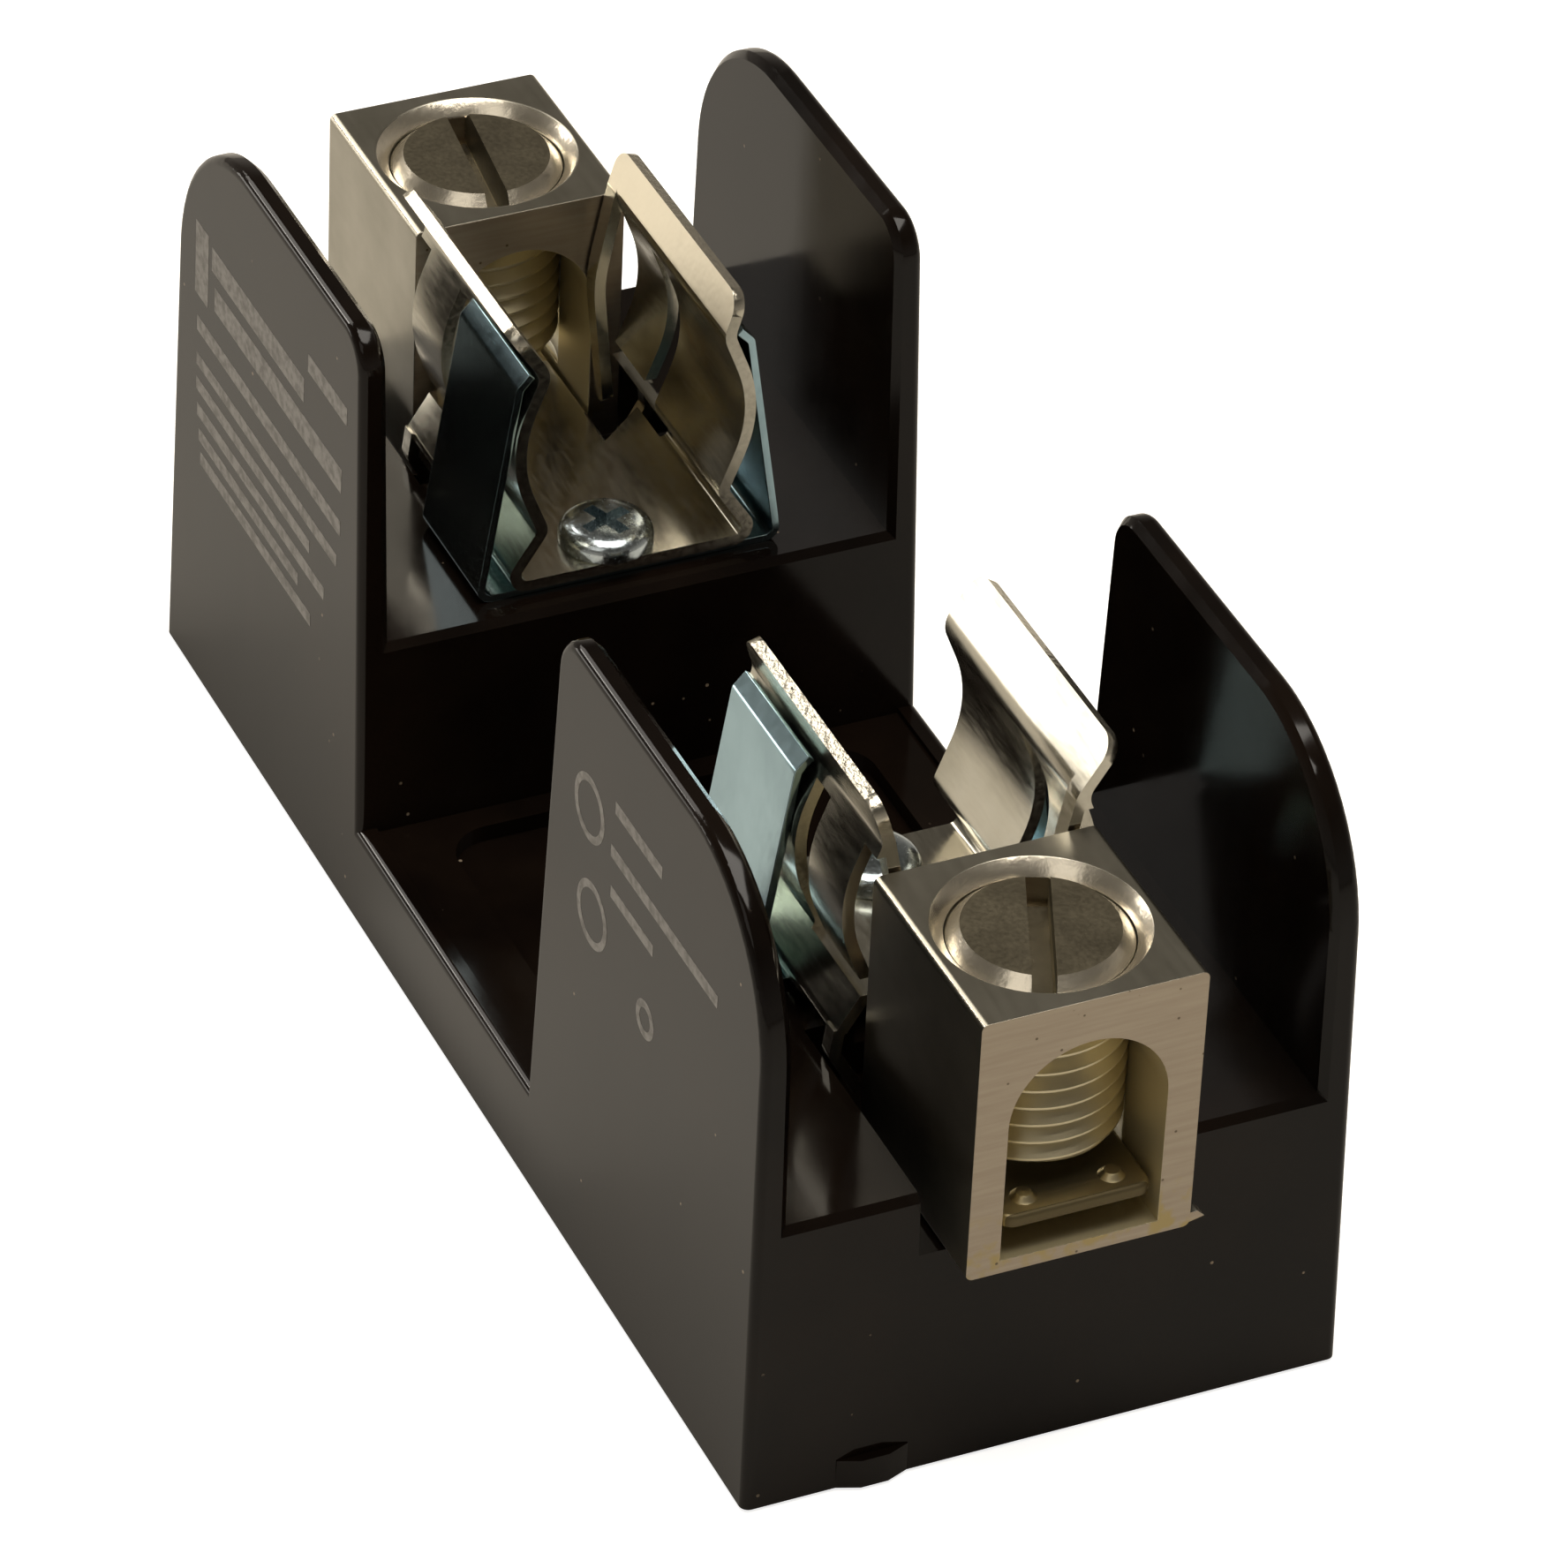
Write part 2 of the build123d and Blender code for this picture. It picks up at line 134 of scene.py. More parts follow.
# Replaces what feeds a shader's input with a blend of it and another value
def blendInput(tree, shader, field, kind, mask, other):
    first, second, result = mixSockets[kind]
    current = shader.inputs[field].links[0].from_socket
    mix = addNode(tree, "ShaderNodeMix", {
        "Factor": mask, first: current, second: other,
    }, data_type=kind)
    tree.links.new(mix.outputs[result], shader.inputs[field])


# Compression-moulded phenolic: dark brown-black, glossy, with faint flow mottling,
# fine rub marks and a few pale specks of dust.
# A range runs from none to full: of a noise texture's value, or of a spot's radius in cells.
phenolicLook = {
    "tones": [(0.35, "#0b0705"), (0.7, "#17100b")],
    "mottleSize": 9 * mm,
    "dust": "#8a7c6a",
    "speckSize": 1.6 * mm,
    "speckRange": (0.075, 0.05),
    "dustySize": 1.6 / 0.45 * mm,
    "dustyRange": (0.6, 0.66),
    "rubSize": 3 * mm,
    "rubStretch": (1, 1, 0.25),
    "rubRange": (0.3, 0.75),
    "roughness": (0.08, 0.17),
    "peelSize": 0.9 * mm,
    "peelHeight": 0.003 * mm,
    "peelStrength": 0.2,
    "ior": 1.6,
    "specular": 0.16,
}


def makePhenolic(look):
    material, tree = newMaterial("mouldedPhenolic")
    place = addNode(tree, "ShaderNodeTexCoord").outputs["Object"]
    mottle = addNode(tree, "ShaderNodeTexNoise", {
        "Vector": place, "Scale": 1 / look["mottleSize"], "Detail": 4.0,
    })
    body = addNode(tree, "ShaderNodeValToRGB", {"Fac": mottle.outputs["Fac"]}, look["tones"])
    specks = addNode(tree, "ShaderNodeTexVoronoi", {
        "Vector": place, "Scale": 1 / look["speckSize"],
    })
    speckMask = addNode(tree, "ShaderNodeMapRange", {
        "Value": specks.outputs["Distance"],
        "From Min": look["speckRange"][0],
        "From Max": look["speckRange"][1],
    })
    dusty = addNode(tree, "ShaderNodeTexNoise", {
        "Vector": place, "Scale": 1 / look["dustySize"], "Detail": 0.0,
    })
    dustyMask = addNode(tree, "ShaderNodeMapRange", {
        "Value": dusty.outputs["Fac"],
        "From Min": look["dustyRange"][0],
        "From Max": look["dustyRange"][1],
    })
    dustMask = addNode(tree, "ShaderNodeMath", {
        0: speckMask.outputs["Result"], 1: dustyMask.outputs["Result"],
    }, operation="MULTIPLY")
    first, second, result = mixSockets["RGBA"]
    colour = addNode(tree, "ShaderNodeMix", {
        "Factor": dustMask.outputs[0],
        first: body.outputs["Color"],
        second: linear(look["dust"]),
    }, data_type="RGBA")
    stretched = addNode(tree, "ShaderNodeMapping", {"Vector": place, "Scale": look["rubStretch"]})
    rub = addNode(tree, "ShaderNodeTexNoise", {
        "Vector": stretched.outputs["Vector"], "Scale": 1 / look["rubSize"], "Detail": 5.0,
    })
    roughness = addNode(tree, "ShaderNodeMapRange", {
        "Value": rub.outputs["Fac"],
        "From Min": look["rubRange"][0],
        "From Max": look["rubRange"][1],
        "To Min": look["roughness"][0],
        "To Max": look["roughness"][1],
    })
    peel = addNode(tree, "ShaderNodeTexNoise", {
        "Vector": place, "Scale": 1 / look["peelSize"], "Detail": 2.0,
    })
    bump = addNode(tree, "ShaderNodeBump", {
        "Height": peel.outputs["Fac"],
        "Strength": look["peelStrength"],
        "Distance": look["peelHeight"],
    })
    shader = addNode(tree, "ShaderNodeBsdfPrincipled", {
        "Base Color": colour.outputs[result],
        "Roughness": roughness.outputs["Result"],
        "IOR": look["ior"],
        "Specular IOR Level": look["specular"],
        "Normal": bump.outputs["Normal"],
    })
    addNode(tree, "ShaderNodeOutputMaterial", {"Surface": shader.outputs["BSDF"]})
    return material


# A patch with its own colour and roughness, where the surface lies and faces within every
# stated range. "place" and "facing" are signed; "reach" and "turn" are the same without sign.
# "lean" tilts the shading away from upright and "grit" is a (size, depth) of fine bumps.
def addPatch(tree, shader, place, look):
    facing = addNode(tree, "ShaderNodeTexCoord").outputs["Normal"]
    reach = addNode(tree, "ShaderNodeVectorMath", {0: place}, operation="ABSOLUTE")
    turn = addNode(tree, "ShaderNodeVectorMath", {0: facing}, operation="ABSOLUTE")
    fields = {
        "place": place,
        "facing": facing,
        "reach": reach.outputs["Vector"],
        "turn": turn.outputs["Vector"],
    }
    masks = []
    for field, axis, low, high in look["where"]:
        part = addNode(tree, "ShaderNodeSeparateXYZ", {"Vector": fields[field]}).outputs[axis]
        middle, margin = (low + high) / 2, (high - low) / 2
        inside = addNode(tree, "ShaderNodeMath", {
            0: part, 1: middle, 2: margin,
        }, operation="COMPARE")
        masks.append(inside.outputs[0])
    mask = masks[0]
    for other in masks[1:]:
        both = addNode(tree, "ShaderNodeMath", {0: mask, 1: other}, operation="MULTIPLY")
        mask = both.outputs[0]
    blendInput(tree, shader, "Base Color", "RGBA", mask, linear(look["colour"]))
    blendInput(tree, shader, "Roughness", "FLOAT", mask, look["roughness"])
    bumps = []
    if "lean" in look:
        height = addNode(tree, "ShaderNodeSeparateXYZ", {"Vector": place}).outputs["Z"]
        bumps.append(addNode(tree, "ShaderNodeBump", {
            "Height": height, "Strength": 1.0, "Distance": look["lean"],
        }, invert=True))
    if "grit" in look:
        size, depth = look["grit"]
        grit = addNode(tree, "ShaderNodeTexNoise", {
            "Vector": place, "Scale": 1 / size, "Detail": 2.0,
        })
        bumps.append(addNode(tree, "ShaderNodeBump", {
            "Height": grit.outputs["Fac"], "Strength": 1.0, "Distance": depth,
        }))
    for lower, upper in zip(bumps, bumps[1:]):
        tree.links.new(lower.outputs["Normal"], upper.inputs["Normal"])
    if bumps:
        blendInput(tree, shader, "Normal", "VECTOR", mask, bumps[-1].outputs["Normal"])


# Ends along X: paler, duller and scored across by the saw, with yellower blotches low down and a
# few pits
def addSawnEnds(tree, shader, place, look):
    normal = addNode(tree, "ShaderNodeTexCoord").outputs["Normal"]
    across = addNode(tree, "ShaderNodeSeparateXYZ", {"Vector": normal}).outputs["X"]
    size = addNode(tree, "ShaderNodeMath", {0: across}, operation="ABSOLUTE")
    mask = addNode(tree, "ShaderNodeMapRange", {
        "Value": size.outputs[0],
        "From Min": look["endRange"][0],
        "From Max": look["endRange"][1],
    }).outputs["Result"]
    stretched = addNode(tree, "ShaderNodeMapping", {
        "Vector": place,
        "Rotation": (math.radians(look["sawAngle"]), 0, 0),
        "Scale": look["sawStretch"],
    })
    scores = addNode(tree, "ShaderNodeTexNoise", {
        "Vector": stretched.outputs["Vector"], "Scale": 1 / look["scoreSize"], "Detail": 4.0,
    })
    scored = addNode(tree, "ShaderNodeValToRGB", {"Fac": scores.outputs["Fac"]}, look["tones"])
    blotch = addNode(tree, "ShaderNodeTexNoise", {
        "Vector": place, "Scale": 1 / look["blotchSize"], "Detail": 3.0,
    })
    blotched = addNode(tree, "ShaderNodeMapRange", {
        "Value": blotch.outputs["Fac"],
        "From Min": look["blotchRange"][0],
        "From Max": look["blotchRange"][1],
    })
    height = addNode(tree, "ShaderNodeSeparateXYZ", {"Vector": place}).outputs["Z"]
    low = addNode(tree, "ShaderNodeMapRange", {
        "Value": height,
        "From Min": look["blotchHeight"][0],
        "From Max": look["blotchHeight"][1],
    })
    lowBlotch = addNode(tree, "ShaderNodeMath", {
        0: blotched.outputs["Result"], 1: low.outputs["Result"],
    }, operation="MULTIPLY")
    pits = addNode(tree, "ShaderNodeTexVoronoi", {"Vector": place, "Scale": 1 / look["pitSize"]})
    pitted = addNode(tree, "ShaderNodeMapRange", {
        "Value": pits.outputs["Distance"],
        "From Min": look["pitRange"][0],
        "From Max": look["pitRange"][1],
    })
    first, second, result = mixSockets["RGBA"]
    tone = scored.outputs["Color"]
    for spots, colour in (
        (lowBlotch.outputs[0], look["blotch"]),
        (pitted.outputs["Result"], look["pit"]),
    ):
        mix = addNode(tree, "ShaderNodeMix", {
            "Factor": spots, first: tone, second: linear(colour),
        }, data_type="RGBA")
        tone = mix.outputs[result]
    bump = addNode(tree, "ShaderNodeBump", {
        "Height": scores.outputs["Fac"], "Strength": 1.0, "Distance": look["scoreHeight"],
    })
    blendInput(tree, shader, "Base Color", "RGBA", mask, tone)
    blendInput(tree, shader, "Roughness", "FLOAT", mask, look["roughness"])
    blendInput(tree, shader, "Normal", "VECTOR", mask, bump.outputs["Normal"])


streakRange = (0.3, 0.7)  # the noise values at a metal's lowest and highest roughness


# A plated or bare metal: colour clouds, drawn streaks in the roughness and a shallow waviness.
# Real drawing lines are finer than the picture shows, so the streaks are drawn coarser.
def makeMetal(name, look):
    material, tree = newMaterial(name)
    place = addNode(tree, "ShaderNodeTexCoord").outputs["Object"]
    clouds = addNode(tree, "ShaderNodeTexNoise", {
        "Vector": place, "Scale": 1 / look["cloudSize"], "Detail": 4.0,
    })
    colour = addNode(tree, "ShaderNodeValToRGB", {"Fac": clouds.outputs["Fac"]}, look["tones"])
    stretched = addNode(tree, "ShaderNodeMapping", {"Vector": place, "Scale": look["grain"]})
    streaks = addNode(tree, "ShaderNodeTexNoise", {
        "Vector": stretched.outputs["Vector"], "Scale": 1 / look["streakSize"], "Detail": 3.0,
    })
    roughness = addNode(tree, "ShaderNodeMapRange", {
        "Value": streaks.outputs["Fac"],
        "From Min": streakRange[0],
        "From Max": streakRange[1],
        "To Min": look["roughness"][0],
        "To Max": look["roughness"][1],
    })
    wave = addNode(tree, "ShaderNodeTexNoise", {
        "Vector": place, "Scale": 1 / look["waveSize"], "Detail": 1.0,
    })
    waveBump = addNode(tree, "ShaderNodeBump", {
        "Height": wave.outputs["Fac"], "Strength": 1.0, "Distance": look["waveHeight"],
    })
    streakBump = addNode(tree, "ShaderNodeBump", {
        "Height": streaks.outputs["Fac"],
        "Strength": 1.0,
        "Distance": look["streakHeight"],
        "Normal": waveBump.outputs["Normal"],
    })
    shader = addNode(tree, "ShaderNodeBsdfPrincipled", {
        "Base Color": colour.outputs["Color"],
        "Metallic": 1.0,
        "Roughness": roughness.outputs["Result"],
        "Normal": streakBump.outputs["Normal"],
    })
    if "sawn" in look:
        addSawnEnds(tree, shader, place, look["sawn"])
    for patch in look["patches"]:
        addPatch(tree, shader, place, patch)
    addNode(tree, "ShaderNodeOutputMaterial", {"Surface": shader.outputs["BSDF"]})
    return material


# Tin plate over extruded aluminium: satin, warm grey, with faint drawing lines
lugLook = {
    "tones": [(0.3, "#a09b8c"), (0.7, "#b3aea0")],
    "cloudSize": 4 * mm,
    "grain": (0.1, 1, 1),
    "streakSize": 0.5 * mm,
    "roughness": (0.29, 0.32),
    "waveSize": 5 * mm,
    "waveHeight": 0.004 * mm,
    "streakHeight": 0.0002 * mm,
    "sawn": {
        "tones": [(0.35, "#a69989"), (0.65, "#aea291")],
        "endRange": (0.8, 0.95),  # of the normal's length along X
        "sawAngle": 8,
        "sawStretch": (1, 0.06, 1),
        "scoreSize": 0.3 * mm,
        "scoreHeight": 0.0005 * mm,
        "roughness": 0.36,
        "blotch": "#ac9b70",
        "blotchSize": 1.6 * mm,
        "blotchRange": (0.5, 0.6),
        "blotchHeight": (17.5 * mm, 16 * mm),
        "pit": "#6b6052",
        "pitSize": 1.1 * mm,
        "pitRange": (0.09, 0.05),
    },
    "patches": [
        {  # eased edges and the countersink, coloured pale: a painted highlight on every face tilted about 45 degrees upward
            "where": [("facing", "Z", 0.62, 0.8)],
            "colour": "#ece3d0",
            "roughness": 0.26,
            "grit": (0.5 * mm, 0.02 * mm),
        },
        {  # inside the tunnel and the bore: rougher, and coloured paler as painted light that lifts their shade
            "where": [
                ("reach", "Y", 0, 4.5 * mm),
                ("place", "Z", 14 * mm, 28.2 * mm),
                ("turn", "X", 0, 0.6),
            ],
            "colour": "#d8cca6",
            "roughness": 0.55,
        },
    ],
}

# Bright plate over rolled copper alloy: nearly mirror-like, slightly warm, gently wavy
clipLook = {
    "tones": [(0.3, "#bdb8a8"), (0.7, "#d2cdbf")],
    "cloudSize": 5 * mm,
    "grain": (0.2, 1, 1),
    "streakSize": 0.3 * mm,
    "roughness": (0.17, 0.27),
    "waveSize": 5 * mm,
    "waveHeight": 0.009 * mm,
    "streakHeight": 0.0005 * mm,
    "patches": [
        {  # the strap inside the lug: rougher, and coloured darker olive as painted shade from the tunnel
            "where": [("reach", "X", 35 * mm, 42.05 * mm)],
            "colour": "#b8ab88",
            "roughness": 0.38,
        },
        {  # its sheared end, coloured dark as painted shade that blends it into the shadow under the strap
            "where": [("reach", "X", 42.05 * mm, 43 * mm)],
            "colour": "#6b6149",
            "roughness": 0.6,
        },
        {  # one lip rubbed by fuses, and bent a little further back than the sheet below
            "where": [
                ("place", "X", -30 * mm, -10 * mm),
                ("place", "Y", 3 * mm, 9 * mm),
                ("place", "Z", 31.3 * mm, 35 * mm),
                ("facing", "Y", -1.1, -0.85),
                ("facing", "Z", 0.15, 0.45),
            ],
            "colour": "#d3cab5",
            "roughness": 0.47,
            "lean": 0.28,
            "grit": (1.2 * mm, 0.05 * mm),
        },
        {  # sheared edges along the tops of the lips
            "where": [("place", "Z", 32.5 * mm, 35 * mm), ("facing", "Z", 0.7, 0.97)],
            "colour": "#d6cfbd",
            "roughness": 0.26,
            "grit": (0.3 * mm, 0.045 * mm),
        },
    ],
}

# Blue-passivated zinc over spring steel: pale blue-grey, smooth
springLook = {
    "tones": [(0.3, "#9db8c2"), (0.7, "#b4d0da")],
    "cloudSize": 5 * mm,
    "grain": (1, 1, 0.5),
    "streakSize": 0.4 * mm,
    "roughness": (0.15, 0.21),
    "waveSize": 6 * mm,
    "waveHeight": 0.006 * mm,
    "streakHeight": 0.0003 * mm,
    "patches": [],
}

# Tin plate over a machined screw: duller and greyer than the lug, with painted light on its
# thread
clampScrewLook = {
    "tones": [(0.3, "#6f6857"), (0.7, "#857d69")],
    "cloudSize": 2.5 * mm,
    "grain": (1, 1, 1),
    "streakSize": 0.25 * mm,
    "roughness": (0.36, 0.44),
    "waveSize": 3 * mm,
    "waveHeight": 0.003 * mm,
    "streakHeight": 0.0004 * mm,
    "patches": [
        {  # chamfer at the top, coloured pale as a painted highlight
            "where": [("facing", "Z", 0.62, 0.8), ("place", "Z", 28.4 * mm, 31 * mm)],
            "colour": "#ece3d0",
            "roughness": 0.26,
            "grit": (0.5 * mm, 0.02 * mm),
        },
        {  # thread, coloured far paler than the top: painted light on the screw's sides
            "where": [("turn", "Z", 0, 0.9), ("place", "Z", 16 * mm, 28.2 * mm)],
            "colour": "#d0c6a8",
            "roughness": 0.4,
        },
    ],
}

# Zinc plate over a cold-headed steel screw: bright, slightly blue
fixingScrewLook = {
    "tones": [(0.3, "#a3b0b5"), (0.7, "#cfd8db")],
    "cloudSize": 1.5 * mm,
    "grain": (1, 1, 1),
    "streakSize": 0.2 * mm,
    "roughness": (0.12, 0.28),
    "waveSize": 1 * mm,
    "waveHeight": 0.01 * mm,
    "streakHeight": 0.002 * mm,
    "patches": [],
}

# Pale grey ink, slightly worn
inkLook = {
    "tones": [(0.35, "#686561"), (0.6, "#8b8884")],
    "wearSize": 0.5 * mm,
    "roughness": 0.5,
}


def makeInk(look):
    material, tree = newMaterial("paleInk")
    place = addNode(tree, "ShaderNodeTexCoord").outputs["Object"]
    wear = addNode(tree, "ShaderNodeTexNoise", {
        "Vector": place, "Scale": 1 / look["wearSize"], "Detail": 4.0,
    })
    colour = addNode(tree, "ShaderNodeValToRGB", {"Fac": wear.outputs["Fac"]}, look["tones"])
    shader = addNode(tree, "ShaderNodeBsdfPrincipled", {
        "Base Color": colour.outputs["Color"], "Roughness": look["roughness"],
    })
    addNode(tree, "ShaderNodeOutputMaterial", {"Surface": shader.outputs["BSDF"]})
    return material


paleInk = makeInk(inkLook)
phenolic = makePhenolic(phenolicLook)
tinnedAluminium = makeMetal("tinnedAluminium", lugLook)
platedCopper = makeMetal("platedCopper", clipLook)
zincSpringSteel = makeMetal("zincSpringSteel", springLook)
tinnedScrewSteel = makeMetal("tinnedScrewSteel", clampScrewLook)
zincScrewSteel = makeMetal("zincScrewSteel", fixingScrewLook)
print("materials made")


def setMaterial(piece, material):
    piece.data.materials.clear()
    piece.data.materials.append(material)


def smoothByAngle(mesh, degrees):
    mesh.polygons.foreach_set("use_smooth", [True] * len(mesh.polygons))
    mesh.set_sharp_from_angle(angle=math.radians(degrees))


def addPiece(name, shape, body, material):
    mesh = bpy.data.meshes.new(name)
    shape.to_mesh(mesh)
    shape.free()
    piece = bpy.data.objects.new(name, mesh)
    bpy.context.scene.collection.objects.link(piece)
    setMaterial(piece, material)
    if body:
        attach(piece, body)
    return piece


bodies = frame["record"]["behaviour"]["bodies"]
bodyOf = {node: name for name, nodes in bodies.items() for node in nodes}

# Copies of CAD nodes, with the width that each one's sharp edges are eased by
easedPieces = {
    "clip": 0.06 * mm,
    "spring": 0.05 * mm,
    "lug": 0.08 * mm,
    "base": 0.1 * mm,
    "segments": 2,
    "weld": 0.002 * mm,  # CAD triangles' corners closer than this are one
    "flatAngle": 0.6,  # degrees under which neighbouring faces become one
    "sharpAngle": 35,  # degrees over which an edge is eased
    "smoothAngle": 32,
    "faceWeight": 100,
}


def addEased(name, node, material, width):
    shape = bmesh.new()
    shape.from_mesh(frame["nodes"][node].data)
    bmesh.ops.remove_doubles(shape, verts=shape.verts, dist=easedPieces["weld"])
    bmesh.ops.dissolve_limit(
        shape, angle_limit=math.radians(easedPieces["flatAngle"]),
        verts=shape.verts, edges=shape.edges, use_dissolve_boundaries=False,
    )
    limit = math.radians(easedPieces["sharpAngle"])
    sharp = [edge for edge in shape.edges if edge.is_manifold and edge.calc_face_angle(0) > limit]
    bmesh.ops.bevel(
        shape, geom=sharp, offset=width, offset_type="OFFSET", segments=easedPieces["segments"],
        profile=0.5, affect="EDGES", material=-1, clamp_overlap=True,
    )
    piece = addPiece(name, shape, bodyOf[node], material)
    smoothByAngle(piece.data, easedPieces["smoothAngle"])
    flat = piece.modifiers.new("flatFaces", "WEIGHTED_NORMAL")
    flat.keep_sharp = True
    flat.weight = easedPieces["faceWeight"]
    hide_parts(node)


# Runs a piece through a boolean and keeps the result as its mesh
def combine(piece, other, operation):
    modifier = piece.modifiers.new("combine", "BOOLEAN")
    modifier.operation = operation
    modifier.solver = "EXACT"
    modifier.object = other
    evaluated = piece.evaluated_get(bpy.context.evaluated_depsgraph_get())
    mesh = bpy.data.meshes.new_from_object(evaluated)
    mesh.name = piece.name
    piece.modifiers.clear()
    piece.data = mesh
    bpy.data.objects.remove(other)


threadForm = {
    "crest": (0.44, 0.56),  # where the flat crest starts and ends, as shares of the pitch
    "spareTurns": 2,  # wound past each end and cut off
    "weld": 0.01 * mm,
}


# A closed bar with a helical thread along Z, cut flat at both ends
def threadedBar(axis, radius, depth, pitch, low, high, steps):
    shape = bmesh.new()
    crestStart, crestEnd = threadForm["crest"]
    root = radius - depth
    profile = [(0, root), (crestStart, radius), (crestEnd, radius), (1, root)]
    start = low - threadForm["spareTurns"] * pitch
    verts = [
        shape.verts.new((axis.x + reach, axis.y, start + share * pitch))
        for share, reach in profile
    ]
    edges = [shape.edges.new(pair) for pair in zip(verts, verts[1:])]
    turns = math.ceil((high - low) / pitch) + 2 * threadForm["spareTurns"]
    bmesh.ops.spin(
        shape, geom=verts + edges, cent=axis, axis=(0, 0, 1), dvec=(0, 0, pitch / steps),
        angle=2 * math.pi * turns, steps=steps * turns,
    )
    bmesh.ops.remove_doubles(shape, verts=shape.verts, dist=threadForm["weld"])
    for height, outward in ((low, (0, 0, -1)), (high, (0, 0, 1))):
        cut = bmesh.ops.bisect_plane(
            shape, geom=shape.verts[:] + shape.edges[:] + shape.faces[:],
            plane_co=(0, 0, height), plane_no=outward, clear_outer=True,
        )["geom_cut"]
        rim = [edge for edge in cut if isinstance(edge, bmesh.types.BMEdge)]
        bmesh.ops.holes_fill(shape, edges=rim, sides=0)
    bmesh.ops.recalc_face_normals(shape, faces=shape.faces)
    return shape


turnedWeld = 0.001 * mm


# A solid turned from a half outline of (radius, height) points
def turned(axis, outline, steps):
    shape = bmesh.new()
    verts = [shape.verts.new((axis.x + radius, axis.y, height)) for radius, height in outline]
    edges = [shape.edges.new(pair) for pair in zip(verts, verts[1:])]
    bmesh.ops.spin(
        shape, geom=verts + edges, cent=axis, axis=(0, 0, 1),
        angle=2 * math.pi, steps=steps, use_merge=True,
    )
    bmesh.ops.remove_doubles(shape, verts=shape.verts, dist=turnedWeld)
    bmesh.ops.recalc_face_normals(shape, faces=shape.faces)
    return shape


# A box centred on a place and turned about Z
def boxShape(size, place, degrees):
    shape = bmesh.new()
    bmesh.ops.create_cube(shape, size=1)
    bmesh.ops.scale(shape, vec=size, verts=shape.verts)
    turn = Matrix.Rotation(math.radians(degrees), 4, "Z")
    bmesh.ops.transform(shape, matrix=Matrix.Translation(place) @ turn, verts=shape.verts)
    return shape


# Headless clamp screw with its thread, chamfered ends and slot
clampScrew = {
    "pitch": 1.058 * mm,
    "threadDepth": 0.5 * mm,
    "topChamfer": 0.7 * mm,
    "bottomChamfer": 0.4 * mm,
    "plainTop": 1.6 * mm,
    "plainChamfer": 0.2 * mm,
    "slotWidth": 1.25 * mm,
    "slotDepth": 2.2 * mm,
    "slotAngle": {"line_clamp_screw": -22.7, "load_clamp_screw": 172.9},
    "overlap": 0.1 * mm,  # the thread runs this far into the plain top
    "excess": 1 * mm,  # and this far below the end, which the blank trims
    "blankMargin": 0.01 * mm,
    "steps": 56,
    "smoothAngle": 35,
}


def addClampScrew(node, name, settings):
    low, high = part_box(node)
    axis = Vector(((low.x + high.x) / 2, (low.y + high.y) / 2, 0))
    radius = (high.x - low.x) / 2
    steps = settings["steps"]
    neck = high.z - settings["plainTop"]
    bar = threadedBar(
        axis, radius, settings["threadDepth"], settings["pitch"],
        low.z - settings["excess"], neck + settings["overlap"], steps,
    )
    piece = addPiece(name, bar, bodyOf[node], tinnedScrewSteel)
    bottom = settings["bottomChamfer"]
    wide = radius + settings["blankMargin"]
    blank = turned(axis, [
        (0, low.z), (radius - bottom, low.z), (wide, low.z + bottom), (wide, high.z), (0, high.z),
    ], steps)
    combine(piece, addPiece("blank", blank, None, tinnedScrewSteel), "INTERSECT")
    top = settings["topChamfer"]
    chamfer = settings["plainChamfer"]
    cap = turned(axis, [
        (0, neck), (radius - chamfer, neck), (radius, neck + chamfer),
        (radius, high.z - top), (radius - top, high.z), (0, high.z),
    ], steps)
    combine(piece, addPiece("cap", cap, None, tinnedScrewSteel), "UNION")
    slotSize = (4 * radius, settings["slotWidth"], 2 * settings["slotDepth"])
    slot = boxShape(slotSize, (axis.x, axis.y, high.z), settings["slotAngle"][node])
    combine(piece, addPiece("slotCutter", slot, None, tinnedScrewSteel), "DIFFERENCE")
    setMaterial(piece, tinnedScrewSteel)
    smoothByAngle(piece.data, settings["smoothAngle"])
    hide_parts(node)


# Pan-head fixing screw with a cross recess and a threaded shank
fixingScrew = {
    "headHeight": 1.25 * mm,
    "headChamfer": 0.1 * mm,  # under the head
    "dome": [(1, 0.38), (0.965, 0.62), (0.87, 0.83), (0.7, 0.95)],  # shares of radius, height
    "flatTop": 0.45,  # share of the radius
    "crossLength": 2.9 * mm,
    "crossWidth": 0.75 * mm,
    "crossDepth": 0.9 * mm,
    "crossAngle": {"line_fixing_screw": 20, "load_fixing_screw": 200},
    "pitch": 0.635 * mm,
    "threadDepth": 0.3 * mm,
    "shankRadius": 1.42 * mm,
    "steps": 48,
    "smoothAngle": 40,
}


